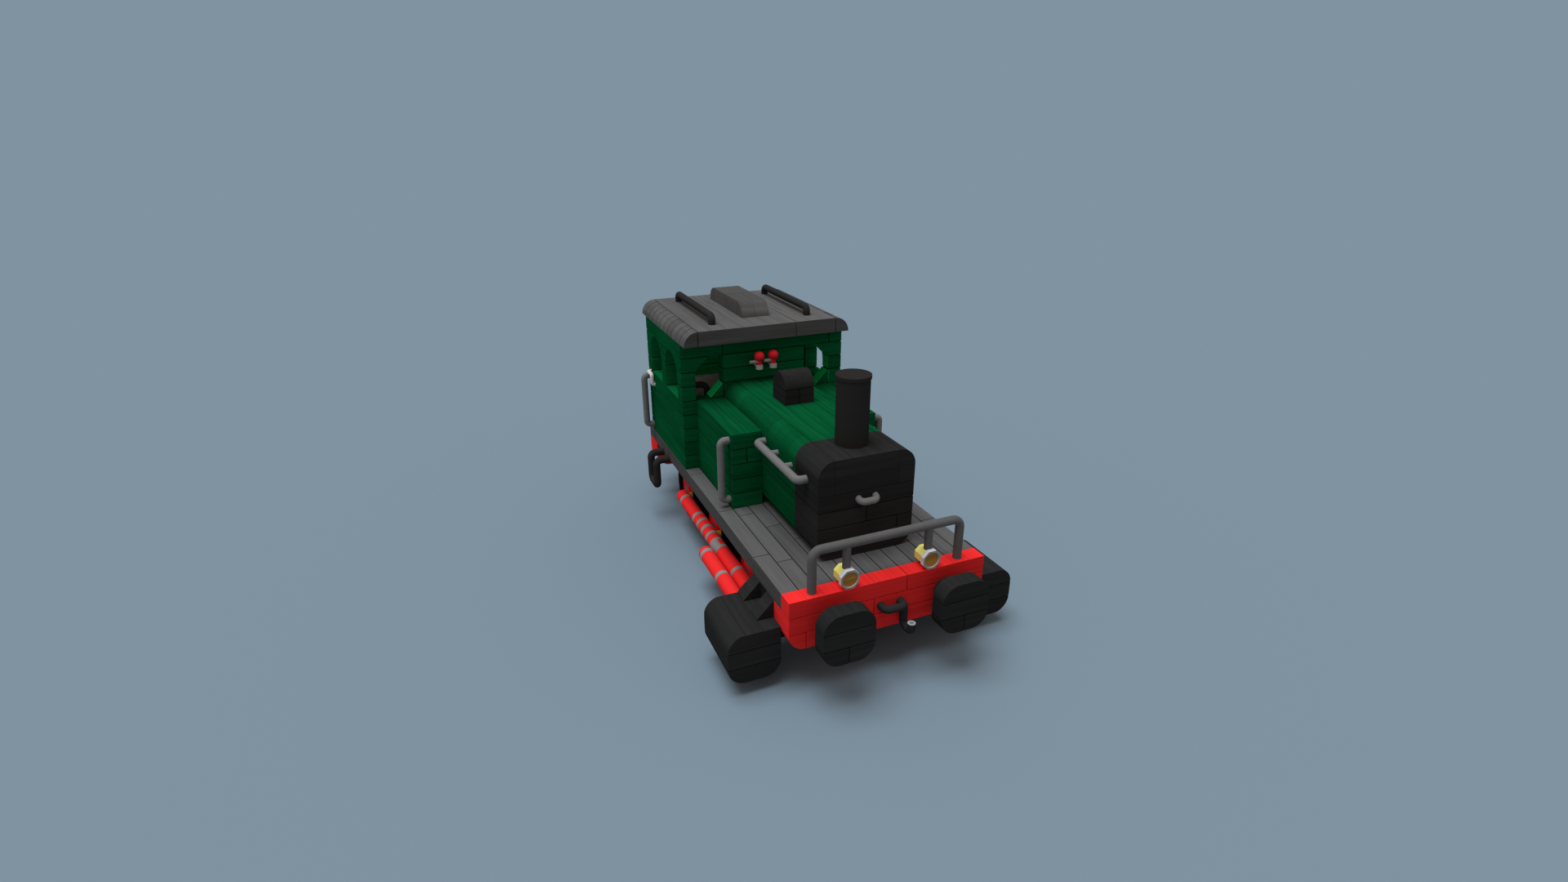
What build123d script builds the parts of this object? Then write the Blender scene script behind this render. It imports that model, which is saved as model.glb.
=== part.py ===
"""Toy tank locomotive built of smooth bricks, with six coupled wheels and working rods.

+X is forward, +Y is the locomotive's left, +Z is up.
The origin lies on the rail surface, under the middle of the locomotive.
"""
import os

from build123d import *

os.makedirs("parts", exist_ok=True)

# Wheels and axles
flange_radius = 18.8
flange_width = 2.0
tread_radius = 17.6
tyre_width = 8.0
tyre_seat_radius = 13.2
wheel_dish = 1.6
hub_radius = 5.6
axle_radius = 2.5
axle_spacing = 52.0
middle_axle_x = -12.0
bearing_clearance = 0.08

# Cranks and rods
crank_throw = 10.0
crank_pin_radius = 2.4
crank_pin_seat = 5.0
pin_clearance = 0.08
rod_radius = 3.8
rod_side_gap = 0.8
rod_eye_length = 4.6
rod_eye_depth = 5.6
pin_end_gap = 0.4
rod_end_round = 2.6
main_rod_lead = 13.4
piston_rod_radius = 2.0
piston_inset = 4.2
piston_clearance = 0.1
piston_bore_end = 3.0
piston_end_gap = 0.5
gland_gap = 3.0

# Footplate, beams and frame
deck_above_axle = 28.0
half_length = 112.0
deck_width = 96.0
deck_thickness = 8.0
beam_top_depth = 8.0
beam_depth = 16.0
beam_height = 24.0
beam_corner = 8.0
frame_plate = 4.0
frame_gap = 1.6
frame_drop = 8.0
stretcher_length = 10.0
stretcher_height = 12.0

# Buffers and couplings
buffer_spacing = 56.0
buffer_size = 24.0
buffer_corner = 8.0
buffer_thickness = 8.0
shank_radius = 6.0
shank_length = 8.0
staple_width = 9.6
staple_reach = 4.6
staple_radius = 1.8
hook_drop = 9.6
hook_reach = 5.6
hook_tip = 2.0
hook_bend = 2.2

# Boiler and smokebox
boiler_width = 48.0
boiler_height = 48.0
boiler_corner = 8.0
boiler_length = 96.0
smokebox_length = 24.0
chimney_radius = 8.0
chimney_height = 32.0
chimney_setback = 16.0
chimney_rim = 1.6
chimney_rim_step = 0.4
dome_width = 16.0
dome_setback = 48.0
dome_wall = 8.0
tank_length = 56.0
tank_width = 16.0
tank_height = 40.0

# Cab
cab_front_x = -32.0
cab_length = 72.0
cab_rise = 24.0
wall = 8.0
lintel_height = 8.0
window_height = 24.0
end_window_width = 16.0
window_wedge = 8.0
side_post = 8.0
roof_overhang = 8.0
roof_thickness = 8.0
vent_length = 56.0
vent_width = 16.0
vent_height = 8.0
vent_setback = 20.0

# Rails, lamps and fittings
guard_height = 19.6
guard_post_spacing = 72.0
guard_radius = 2.0
guard_post_radius = 1.8
guard_bend = 4.0
guard_setback = 4.0
lamp_spacing = 40.0
lamp_radius = 4.4
lamp_rim_length = 2.1
lamp_rim_wall = 0.8
lamp_body_radius = 3.8
lamp_body_length = 6.0
lens_setback = 0.5
handle_height = 28.0
handle_width = 8.4
handle_reach = 2.4
handle_drop = 0.8
handle_radius = 1.6
handle_bend = 2.2
handrail_height = 36.0
handrail_length = 48.0
handrail_start = 4.0
handrail_standoff = 4.4
handrail_radius = 1.9
handrail_post_radius = 1.6
handrail_bend = 2.4
handrail_post_inset = 16.0
grab_reach = 4.4
grab_radius = 1.9
grab_bend = 2.4
tank_grab_low = 4.0
tank_grab_high = 36.0
tank_grab_setback = 4.0
cab_grab_low = 4.0
cab_grab_high = 36.0
cab_grab_setback = 4.0
step_reach = 8.0
step_drop = 16.4
step_width = 12.8
step_setback = 31.8
step_height = 0.6
step_radius = 2.2
step_bend = 2.8
roof_rail_spacing = 56.0
roof_rail_height = 4.4
roof_rail_radius = 2.0
roof_rail_front_inset = 13.0
roof_rail_rear_inset = 12.0
roof_rail_bend = 2.6
whistle_spacing = 8.2
whistle_y = -1.0
whistle_height = 8.5
whistle_reach = 5.6
whistle_radius = 1.0
cup_radius = 2.05
cup_height = 2.4
cup_drop = 1.2
neck_radius = 1.3
neck_height = 1.9
knob_radius = 2.8
seat_width = 24.0
seat_depth = 16.0
seat_height = 16.0
seat_back = 26.4
seat_back_thickness = 4.0
seat_gap = 6.0
seat_setback = 28.0
pipe_setback = 6.0
pipe_above_sill = 4.0
pipe_inset = 10.7
pipe_reach = 8.4
pipe_drop = 14.0
pipe_bend = 4.0
pipe_radius = 1.8

# Cylinders
cylinder_size = 24.0
cylinder_corner = 8.0
cylinder_length = 32.0
cylinder_setback = 8.0
strut_width = 8.0
strut_gap = 8.0

# Levels and stations that the pieces share
axle_z = flange_radius
deck_top = axle_z + deck_above_axle
deck_bottom = deck_top - deck_thickness
half_deck = deck_width / 2
main_rod_y = half_deck + piston_inset
rod_y = main_rod_y - 2 * rod_radius - rod_side_gap
wheel_face_y = rod_y - rod_radius - rod_side_gap
wheel_back_y = wheel_face_y - tyre_width
smokebox_back_x = cab_front_x + boiler_length
smokebox_front_x = smokebox_back_x + smokebox_length
boiler_top = deck_top + boiler_height
cab_height = boiler_height + cab_rise
tank_front_x = cab_front_x + tank_length
tank_side_y = boiler_width / 2 + tank_width
cab_rear_x = cab_front_x - cab_length
cab_top = deck_top + cab_height
sill_z = cab_top - lintel_height - window_height
roof_top = cab_top + roof_thickness
roof_front_x = cab_front_x + roof_overhang
roof_rear_x = cab_rear_x - roof_overhang
beam_front_x = half_length
cylinder_front_x = beam_front_x - cylinder_setback
cylinder_rear_x = cylinder_front_x - cylinder_length
cylinder_top = axle_z + cylinder_size / 2
frame_outer_y = wheel_back_y - frame_gap
guard_x = beam_front_x - guard_setback
lamp_z = deck_top + lamp_radius
buffer_z = deck_top - beam_height / 2

AXLES = [
    # name, x
    ("front", middle_axle_x + axle_spacing),
    ("middle", middle_axle_x),
    ("rear", middle_axle_x - axle_spacing),
]
SIDES = [
    # name, sign of y
    ("left", 1),
    ("right", -1),
]
ENDS = [
    # name, sign of x
    ("front", 1),
    ("rear", -1),
]

# Footplate: the long deck that carries everything, behind the front beam's top row
with BuildPart() as footplate:
    with BuildSketch(Plane.XY.offset(deck_bottom)):
        with Locations((-beam_top_depth / 2, 0)):
            Rectangle(2 * half_length - beam_top_depth, deck_width)
    extrude(amount=deck_thickness)
footplate.part.label = "footplate"
export_step(footplate.part, "parts/footplate.step")

# Front beam: its top row is level with the deck and its lower rows reach back below it
with BuildPart() as front_buffer_beam:
    with BuildSketch(Plane.XZ.offset(-half_deck)):
        with BuildLine():
            Polyline(
                (beam_front_x, deck_top),
                (beam_front_x, deck_top - beam_height),
                (beam_front_x - beam_depth, deck_top - beam_height),
                (beam_front_x - beam_depth, deck_bottom),
                (beam_front_x - beam_top_depth, deck_bottom),
                (beam_front_x - beam_top_depth, deck_top),
                close=True,
            )
        make_face()
    extrude(amount=deck_width)
    low_edges = front_buffer_beam.edges().filter_by(Axis.X).group_by(Axis.Z)[0]
    fillet(low_edges, radius=beam_corner)
front_buffer_beam.part.label = "front_buffer_beam"
export_step(front_buffer_beam.part, "parts/front_buffer_beam.step")

# Rear beam: two rows under the deck's end
with BuildPart() as rear_buffer_beam:
    with BuildSketch(Plane.XY.offset(deck_bottom)):
        with Locations((-half_length + beam_depth / 2, 0)):
            Rectangle(beam_depth, deck_width)
    extrude(amount=-(beam_height - deck_thickness))
    low_edges = rear_buffer_beam.edges().filter_by(Axis.X).group_by(Axis.Z)[0]
    fillet(low_edges, radius=beam_corner)
rear_buffer_beam.part.label = "rear_buffer_beam"
export_step(rear_buffer_beam.part, "parts/rear_buffer_beam.step")

# Buffers: square heads with round corners on round shanks
for end_name, end in ENDS:
    with BuildPart() as buffers:
        with BuildSketch(Plane.YZ.offset(end * half_length)):
            with Locations((-buffer_spacing / 2, buffer_z), (buffer_spacing / 2, buffer_z)):
                Circle(shank_radius)
        extrude(amount=end * shank_length)
        with BuildSketch(Plane.YZ.offset(end * (half_length + shank_length))):
            with Locations((-buffer_spacing / 2, buffer_z), (buffer_spacing / 2, buffer_z)):
                RectangleRounded(buffer_size, buffer_size, buffer_corner)
        extrude(amount=end * buffer_thickness)
    buffers.part.label = end_name + "_buffers"
    export_step(buffers.part, "parts/" + end_name + "_buffers.step")

# Couplings: a staple on the beam with a hook that hangs from one corner of it
for end_name, end in ENDS:
    staple_x = end * (half_length + staple_reach)
    hook_y = end * staple_width / 2
    with BuildPart() as coupling:
        with BuildLine() as staple:
            FilletPolyline(
                (end * half_length, -staple_width / 2, buffer_z),
                (staple_x, -staple_width / 2, buffer_z),
                (staple_x, staple_width / 2, buffer_z),
                (end * half_length, staple_width / 2, buffer_z),
                radius=hook_bend,
            )
        with BuildSketch(Plane(origin=staple.line @ 0, z_dir=staple.line % 0)):
            Circle(staple_radius)
        sweep(path=staple.line)
        with BuildLine() as hook:
            FilletPolyline(
                (staple_x - end * hook_bend / 2, hook_y, buffer_z),
                (staple_x - end * hook_bend / 2, hook_y, buffer_z - hook_drop),
                (staple_x + end * hook_reach, hook_y, buffer_z - hook_drop),
                (staple_x + end * hook_reach, hook_y, buffer_z - hook_drop + hook_tip + hook_bend),
                radius=hook_bend,
            )
        with BuildSketch(Plane(origin=hook.line @ 0, z_dir=hook.line % 0)):
            Circle(staple_radius)
        sweep(path=hook.line)
    coupling.part.label = end_name + "_coupling"
    export_step(coupling.part, "parts/" + end_name + "_coupling.step")

# Frame: two plates with the axle bearings, joined by stretchers
frame_length = 2 * (half_length - beam_depth)
frame_height = deck_bottom - (axle_z - frame_drop)
frame_inner_y = frame_outer_y - frame_plate
for side_name, side in SIDES:
    with BuildPart() as plate:
        with BuildSketch(Plane.XZ.offset(-side * frame_inner_y)):
            with Locations((0, deck_bottom - frame_height / 2)):
                Rectangle(frame_length, frame_height)
            with Locations(*[(x, axle_z) for axle_name, x in AXLES]):
                Circle(axle_radius + bearing_clearance, mode=Mode.SUBTRACT)
        extrude(amount=-side * frame_plate)
    plate.part.label = "frame_plate_" + side_name
    export_step(plate.part, "parts/frame_plate_" + side_name + ".step")

saddle_length = beam_front_x - beam_depth - cylinder_rear_x
STRETCHERS = [
    # x, length, height
    (middle_axle_x - axle_spacing / 2, stretcher_length, stretcher_height),
    (middle_axle_x + axle_spacing / 2, stretcher_length, stretcher_height),
    (cylinder_rear_x + saddle_length / 2, saddle_length, deck_bottom - axle_z),
]
with BuildPart() as frame_stretchers:
    for x, length, height in STRETCHERS:
        with BuildSketch(Plane.XY.offset(deck_bottom)):
            with Locations((x, 0)):
                Rectangle(length, 2 * frame_inner_y)
        extrude(amount=-height)
frame_stretchers.part.label = "frame_stretchers"
export_step(frame_stretchers.part, "parts/frame_stretchers.step")

# Cylinder brackets: blocks from the frame plates out to the cylinders and their struts
bracket_width = half_deck - frame_outer_y
with BuildPart() as cylinder_brackets:
    with BuildSketch(Plane.XY.offset(deck_bottom)):
        for side_name, side in SIDES:
            with Locations((cylinder_rear_x + saddle_length / 2, side * (frame_outer_y + bracket_width / 2))):
                Rectangle(saddle_length, bracket_width)
    extrude(amount=-(deck_bottom - axle_z))
cylinder_brackets.part.label = "cylinder_brackets"
export_step(cylinder_brackets.part, "parts/cylinder_brackets.step")

# Cylinders: blocks with a square inner top corner, a bore for the piston rod and wedge struts
strut_top = deck_bottom
with BuildPart() as cylinders:
    for side_name, side in SIDES:
        with BuildSketch(Plane.YZ.offset(cylinder_rear_x)):
            with Locations((side * (half_deck + cylinder_size / 2), axle_z)):
                block = Rectangle(cylinder_size, cylinder_size)
            corners = block.vertices().sort_by(lambda v: side * v.X - v.Y)
            fillet(corners[1:], radius=cylinder_corner)
        extrude(amount=cylinder_length)
        for strut_x in (cylinder_rear_x, cylinder_rear_x + strut_width + strut_gap):
            with BuildSketch(Plane.YZ.offset(strut_x)):
                with BuildLine():
                    Polyline(
                        (side * half_deck, cylinder_top),
                        (side * (half_deck + strut_top - cylinder_top), cylinder_top),
                        (side * half_deck, strut_top),
                        close=True,
                    )
                make_face()
            extrude(amount=strut_width)
        with BuildSketch(Plane.YZ.offset(cylinder_rear_x)):
            with Locations((side * main_rod_y, axle_z)):
                Circle(piston_rod_radius + piston_clearance)
        extrude(amount=cylinder_length - piston_bore_end, mode=Mode.SUBTRACT)
cylinders.part.label = "cylinders"
export_step(cylinders.part, "parts/cylinders.step")

# Smokebox and boiler: one rounded section, cut where the colours meet
BARREL = [
    # name, rear x, length
    ("smokebox", smokebox_back_x, smokebox_length),
    ("boiler", cab_front_x, boiler_length),
]
for barrel_name, rear_x, length in BARREL:
    with BuildPart() as barrel:
        with BuildSketch(Plane.YZ.offset(rear_x)):
            with Locations((0, deck_top + boiler_height / 2)):
                RectangleRounded(boiler_width, boiler_height, boiler_corner)
        extrude(amount=length)
    barrel.part.label = barrel_name
    export_step(barrel.part, "parts/" + barrel_name + ".step")

# Chimney: a round stack with a slight rim
chimney_x = smokebox_front_x - chimney_setback
with BuildPart() as chimney:
    with BuildSketch(Plane.XY.offset(boiler_top)):
        with Locations((chimney_x, 0)):
            Circle(chimney_radius - chimney_rim_step)
    extrude(amount=chimney_height)
    with BuildSketch(Plane.XY.offset(boiler_top + chimney_height - chimney_rim)):
        with Locations((chimney_x, 0)):
            Circle(chimney_radius)
    extrude(amount=chimney_rim)
chimney.part.label = "chimney"
export_step(chimney.part, "parts/chimney.step")

# Dome: straight walls under a half-round top
dome_x = cab_front_x + dome_setback - dome_width / 2
with BuildPart() as dome:
    with BuildSketch(Plane.XZ.offset(-dome_width / 2)):
        with Locations((dome_x, boiler_top + dome_wall / 2)):
            Rectangle(dome_width, dome_wall)
        with Locations((dome_x, boiler_top + dome_wall)):
            Circle(dome_width / 2)
    extrude(amount=dome_width)
dome.part.label = "dome"
export_step(dome.part, "parts/dome.step")

# Side tanks
with BuildPart() as side_tanks:
    with BuildSketch(Plane.XY.offset(deck_top)):
        for side_name, side in SIDES:
            with Locations((cab_front_x + tank_length / 2, side * (boiler_width + tank_width) / 2)):
                Rectangle(tank_length, tank_width)
    extrude(amount=tank_height)
side_tanks.part.label = "side_tanks"
export_step(side_tanks.part, "parts/side_tanks.step")

# Cab end walls: two open windows each, and in front a low and a high wedge in each window
window_z = sill_z + window_height / 2
head_z = sill_z + window_height
window_y = half_deck - wall - end_window_width / 2
END_WALLS = [
    # name, rear x, has wedges
    ("cab_front_wall", cab_front_x - wall, True),
    ("cab_rear_wall", cab_rear_x, False),
]
for wall_name, rear_x, has_wedges in END_WALLS:
    with BuildPart() as end_wall:
        with BuildSketch(Plane.YZ.offset(rear_x)):
            with Locations((0, deck_top + cab_height / 2)):
                Rectangle(deck_width, cab_height)
            with Locations((-window_y, window_z), (window_y, window_z)):
                Rectangle(end_window_width, window_height, mode=Mode.SUBTRACT)
            if has_wedges:
                for side_name, side in SIDES:
                    low_y = side * window_y + end_window_width / 2
                    high_y = side * (window_y + end_window_width / 2)
                    with BuildLine():
                        Polyline(
                            (low_y - window_wedge, sill_z),
                            (low_y, sill_z),
                            (low_y, sill_z + window_wedge),
                            close=True,
                        )
                    make_face()
                    with BuildLine():
                        Polyline(
                            (high_y - side * window_wedge, head_z),
                            (high_y, head_z),
                            (high_y, head_z - window_wedge),
                            close=True,
                        )
                    make_face()
        extrude(amount=wall)
    end_wall.part.label = wall_name
    export_step(end_wall.part, "parts/" + wall_name + ".step")

# Cab side walls: a solid lower panel and two arched openings beside a middle post
side_length = cab_length - 2 * wall
opening_width = (side_length - side_post) / 2
opening_x = (opening_width + side_post) / 2
arch_z = sill_z + window_height - opening_width / 2
cab_middle_x = cab_front_x - cab_length / 2
for side_name, side in SIDES:
    with BuildPart() as side_wall:
        with BuildSketch(Plane.XZ.offset(-side * (half_deck - wall / 2))):
            with Locations((cab_middle_x, deck_top + cab_height / 2)):
                Rectangle(side_length, cab_height)
            for x in (cab_middle_x - opening_x, cab_middle_x + opening_x):
                with Locations((x, (sill_z + arch_z) / 2)):
                    Rectangle(opening_width, arch_z - sill_z, mode=Mode.SUBTRACT)
                with Locations((x, arch_z)):
                    Circle(opening_width / 2, mode=Mode.SUBTRACT)
        extrude(amount=wall / 2, both=True)
    side_wall.part.label = "cab_" + side_name + "_wall"
    export_step(side_wall.part, "parts/cab_" + side_name + "_wall.step")

# Roof: a flat slab whose long edges are rounded over
with BuildPart() as roof:
    with BuildSketch(Plane.YZ.offset(roof_rear_x)):
        with BuildLine():
            Line((half_deck, cab_top), (-half_deck, cab_top))
            RadiusArc((-half_deck, cab_top), (-half_deck + roof_thickness, roof_top), roof_thickness)
            Line((-half_deck + roof_thickness, roof_top), (half_deck - roof_thickness, roof_top))
            RadiusArc((half_deck - roof_thickness, roof_top), (half_deck, cab_top), roof_thickness)
        make_face()
    extrude(amount=roof_front_x - roof_rear_x)
roof.part.label = "roof"
export_step(roof.part, "parts/roof.step")

# Roof vent: a long block whose ends are rounded over from its top to the roof
vent_front_x = roof_front_x - vent_setback
vent_rear_x = vent_front_x - vent_length
vent_top = roof_top + vent_height
with BuildPart() as roof_vent:
    with BuildSketch(Plane.XZ.offset(-vent_width / 2)):
        with BuildLine():
            Line((vent_front_x, roof_top), (vent_rear_x, roof_top))
            RadiusArc((vent_rear_x, roof_top), (vent_rear_x + vent_height, vent_top), vent_height)
            Line((vent_rear_x + vent_height, vent_top), (vent_front_x - vent_height, vent_top))
            RadiusArc((vent_front_x - vent_height, vent_top), (vent_front_x, roof_top), vent_height)
        make_face()
    extrude(amount=vent_width)
roof_vent.part.label = "roof_vent"
export_step(roof_vent.part, "parts/roof_vent.step")

# Roof rails: low tubes along both sides of the roof
with BuildPart() as roof_rails:
    for side_name, side in SIDES:
        rail_y = side * roof_rail_spacing / 2
        with BuildLine() as route:
            FilletPolyline(
                (roof_rear_x + roof_rail_rear_inset, rail_y, roof_top),
                (roof_rear_x + roof_rail_rear_inset, rail_y, roof_top + roof_rail_height),
                (roof_front_x - roof_rail_front_inset, rail_y, roof_top + roof_rail_height),
                (roof_front_x - roof_rail_front_inset, rail_y, roof_top),
                radius=roof_rail_bend,
            )
        with BuildSketch(Plane(origin=route.line @ 0, z_dir=route.line % 0)):
            Circle(roof_rail_radius)
        sweep(path=route.line)
roof_rails.part.label = "roof_rails"
export_step(roof_rails.part, "parts/roof_rails.step")

# Whistles: an elbow from the cab front that ends in a small cup, with a ball on a neck above it
whistle_x = cab_front_x + whistle_reach
whistle_z = boiler_top + whistle_height
cup_z = whistle_z - cup_drop
WHISTLES = [whistle_y - whistle_spacing / 2, whistle_y + whistle_spacing / 2]
with BuildPart() as whistles:
    for y in WHISTLES:
        with BuildSketch(Plane.YZ.offset(cab_front_x)):
            with Locations((y, whistle_z)):
                Circle(whistle_radius)
        extrude(amount=whistle_reach)
        with BuildSketch(Plane.XY.offset(cup_z)):
            with Locations((whistle_x, y)):
                Circle(cup_radius)
        extrude(amount=cup_height)
whistles.part.label = "whistles"
export_step(whistles.part, "parts/whistles.step")

knob_z = cup_z + cup_height + neck_height + knob_radius
with BuildPart() as whistle_knobs:
    with BuildSketch(Plane.XY.offset(cup_z + cup_height)):
        with Locations(*[(whistle_x, y) for y in WHISTLES]):
            Circle(neck_radius)
    extrude(amount=neck_height + knob_radius)
    with Locations(*[(whistle_x, y, knob_z) for y in WHISTLES]):
        Sphere(knob_radius)
whistle_knobs.part.label = "whistle_knobs"
export_step(whistle_knobs.part, "parts/whistle_knobs.step")

# Guard rail: a bent tube over the front beam with two inner posts that come down to the lamps
guard_z = deck_top + guard_height
lamp_top = lamp_z + lamp_body_radius
with BuildPart() as guard_rail:
    with BuildLine() as route:
        FilletPolyline(
            (guard_x, -guard_post_spacing / 2, deck_top),
            (guard_x, -guard_post_spacing / 2, guard_z),
            (guard_x, guard_post_spacing / 2, guard_z),
            (guard_x, guard_post_spacing / 2, deck_top),
            radius=guard_bend,
        )
    with BuildSketch(Plane(origin=route.line @ 0, z_dir=route.line % 0)):
        Circle(guard_radius)
    sweep(path=route.line)
    with BuildSketch(Plane.XY.offset(lamp_top)):
        with Locations((guard_x, -lamp_spacing / 2), (guard_x, lamp_spacing / 2)):
            Circle(guard_post_radius)
    extrude(amount=guard_z - lamp_top)
guard_rail.part.label = "guard_rail"
export_step(guard_rail.part, "parts/guard_rail.step")

# Lamps: an eight-sided body, a bright rim in front of it and a round lens in the rim
LAMP_SIDES = 8
lamp_turn = 180 / LAMP_SIDES
LAMP_SPOTS = [(-lamp_spacing / 2, lamp_z), (lamp_spacing / 2, lamp_z)]
rim_back_x = beam_front_x - lamp_rim_length
with BuildPart() as lamp_bodies:
    with BuildSketch(Plane.YZ.offset(rim_back_x)):
        with Locations(*LAMP_SPOTS):
            RegularPolygon(lamp_body_radius, LAMP_SIDES, major_radius=False, rotation=lamp_turn)
    extrude(amount=-lamp_body_length)
lamp_bodies.part.label = "lamp_bodies"
export_step(lamp_bodies.part, "parts/lamp_bodies.step")

with BuildPart() as lamp_rims:
    with BuildSketch(Plane.YZ.offset(rim_back_x)):
        with Locations(*LAMP_SPOTS):
            RegularPolygon(lamp_radius, LAMP_SIDES, major_radius=False, rotation=lamp_turn)
            Circle(lamp_radius - lamp_rim_wall, mode=Mode.SUBTRACT)
    extrude(amount=lamp_rim_length)
lamp_rims.part.label = "lamp_rims"
export_step(lamp_rims.part, "parts/lamp_rims.step")

with BuildPart() as lamp_lenses:
    with BuildSketch(Plane.YZ.offset(rim_back_x)):
        with Locations(*LAMP_SPOTS):
            Circle(lamp_radius - lamp_rim_wall)
    extrude(amount=lamp_rim_length - lens_setback)
lamp_lenses.part.label = "lamp_lenses"
export_step(lamp_lenses.part, "parts/lamp_lenses.step")

# Smokebox handle: a bent tube that droops a little from the front
handle_z = deck_top + handle_height
with BuildPart() as smokebox_handle:
    with BuildLine() as route:
        FilletPolyline(
            (smokebox_front_x - handle_reach, -handle_width / 2, handle_z + handle_drop),
            (smokebox_front_x + handle_reach, -handle_width / 2, handle_z - handle_drop),
            (smokebox_front_x + handle_reach, handle_width / 2, handle_z - handle_drop),
            (smokebox_front_x - handle_reach, handle_width / 2, handle_z + handle_drop),
            radius=handle_bend,
        )
    with BuildSketch(Plane(origin=route.line @ 0, z_dir=route.line % 0)):
        Circle(handle_radius)
    sweep(path=route.line)
    split(bisect_by=Plane.YZ.offset(smokebox_front_x), keep=Keep.TOP)
smokebox_handle.part.label = "smokebox_handle"
export_step(smokebox_handle.part, "parts/smokebox_handle.step")

# Boiler handrails: tubes whose ends turn into the boiler's side, with two short posts between
handrail_z = deck_top + handrail_height
handrail_x = tank_front_x + handrail_start
with BuildPart() as boiler_handrails:
    for side_name, side in SIDES:
        barrel_y = side * boiler_width / 2
        handrail_y = side * (boiler_width / 2 + handrail_standoff)
        with BuildLine() as route:
            FilletPolyline(
                (handrail_x, barrel_y, handrail_z),
                (handrail_x, handrail_y, handrail_z),
                (handrail_x + handrail_length, handrail_y, handrail_z),
                (handrail_x + handrail_length, barrel_y, handrail_z),
                radius=handrail_bend,
            )
        with BuildSketch(Plane(origin=route.line @ 0, z_dir=route.line % 0)):
            Circle(handrail_radius)
        sweep(path=route.line)
        with BuildSketch(Plane.XZ.offset(-barrel_y)):
            with Locations(
                (handrail_x + handrail_post_inset, handrail_z),
                (handrail_x + handrail_length - handrail_post_inset, handrail_z),
            ):
                Circle(handrail_post_radius)
        extrude(amount=-side * handrail_standoff)
boiler_handrails.part.label = "boiler_handrails"
export_step(boiler_handrails.part, "parts/boiler_handrails.step")

# Grab rails: upright bent tubes at the tank fronts and at the cab's rear corners
GRABS = [
    # name, x, wall y, low end, high end
    ("tank_handrails", tank_front_x - tank_grab_setback, tank_side_y, tank_grab_low, tank_grab_high),
    ("cab_handrails", cab_rear_x + cab_grab_setback, half_deck, cab_grab_low, cab_grab_high),
]
for grab_name, grab_x, wall_y, low, high in GRABS:
    with BuildPart() as grab_rails:
        for side_name, side in SIDES:
            with BuildLine() as route:
                FilletPolyline(
                    (grab_x, side * wall_y, deck_top + low),
                    (grab_x, side * (wall_y + grab_reach), deck_top + low),
                    (grab_x, side * (wall_y + grab_reach), deck_top + high),
                    (grab_x, side * wall_y, deck_top + high),
                    radius=grab_bend,
                )
            with BuildSketch(Plane(origin=route.line @ 0, z_dir=route.line % 0)):
                Circle(grab_radius)
            sweep(path=route.line)
    grab_rails.part.label = grab_name
    export_step(grab_rails.part, "parts/" + grab_name + ".step")

# Cab steps: stirrups that come out of the deck's sides and hang down
step_rear_x = -half_length + step_setback
step_front_x = step_rear_x + step_width
step_top = deck_bottom + step_height
with BuildPart() as cab_steps:
    for side_name, side in SIDES:
        step_y = side * (half_deck + step_reach)
        with BuildLine() as route:
            FilletPolyline(
                (step_rear_x, side * half_deck, step_top),
                (step_rear_x, step_y, step_top),
                (step_rear_x, step_y, step_top - step_drop),
                (step_front_x, step_y, step_top - step_drop),
                (step_front_x, step_y, step_top),
                (step_front_x, side * half_deck, step_top),
                radius=step_bend,
            )
        with BuildSketch(Plane(origin=route.line @ 0, z_dir=route.line % 0)):
            Circle(step_radius)
        sweep(path=route.line)
cab_steps.part.label = "cab_steps"
export_step(cab_steps.part, "parts/cab_steps.step")

# Driver's seat and the curved regulator pipe inside the cab
seat_x = cab_front_x - wall - seat_setback
seat_right_y = -(half_deck - wall - seat_gap)
with BuildPart() as driver_seat:
    with BuildSketch(Plane.XZ.offset(-seat_right_y)):
        with BuildLine():
            Polyline(
                (seat_x, deck_top),
                (seat_x + seat_depth, deck_top),
                (seat_x + seat_depth, deck_top + seat_height),
                (seat_x + seat_back_thickness, deck_top + seat_height),
                (seat_x + seat_back_thickness, deck_top + seat_height + seat_back),
                (seat_x, deck_top + seat_height + seat_back),
                close=True,
            )
        make_face()
    extrude(amount=-seat_width)
driver_seat.part.label = "driver_seat"
export_step(driver_seat.part, "parts/driver_seat.step")

pipe_x = cab_front_x - wall - pipe_setback
pipe_y = -(half_deck - wall - pipe_inset)
pipe_z = sill_z + pipe_above_sill
with BuildPart() as regulator_pipe:
    with BuildLine() as route:
        FilletPolyline(
            (cab_front_x - wall, pipe_y, pipe_z - pipe_drop),
            (pipe_x, pipe_y, pipe_z - pipe_drop),
            (pipe_x, pipe_y, pipe_z),
            (pipe_x, pipe_y - pipe_reach, pipe_z),
            radius=pipe_bend,
        )
    with BuildSketch(Plane(origin=route.line @ 0, z_dir=route.line % 0)):
        Circle(pipe_radius)
    sweep(path=route.line)
regulator_pipe.part.label = "regulator_pipe"
export_step(regulator_pipe.part, "parts/regulator_pipe.step")

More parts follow.
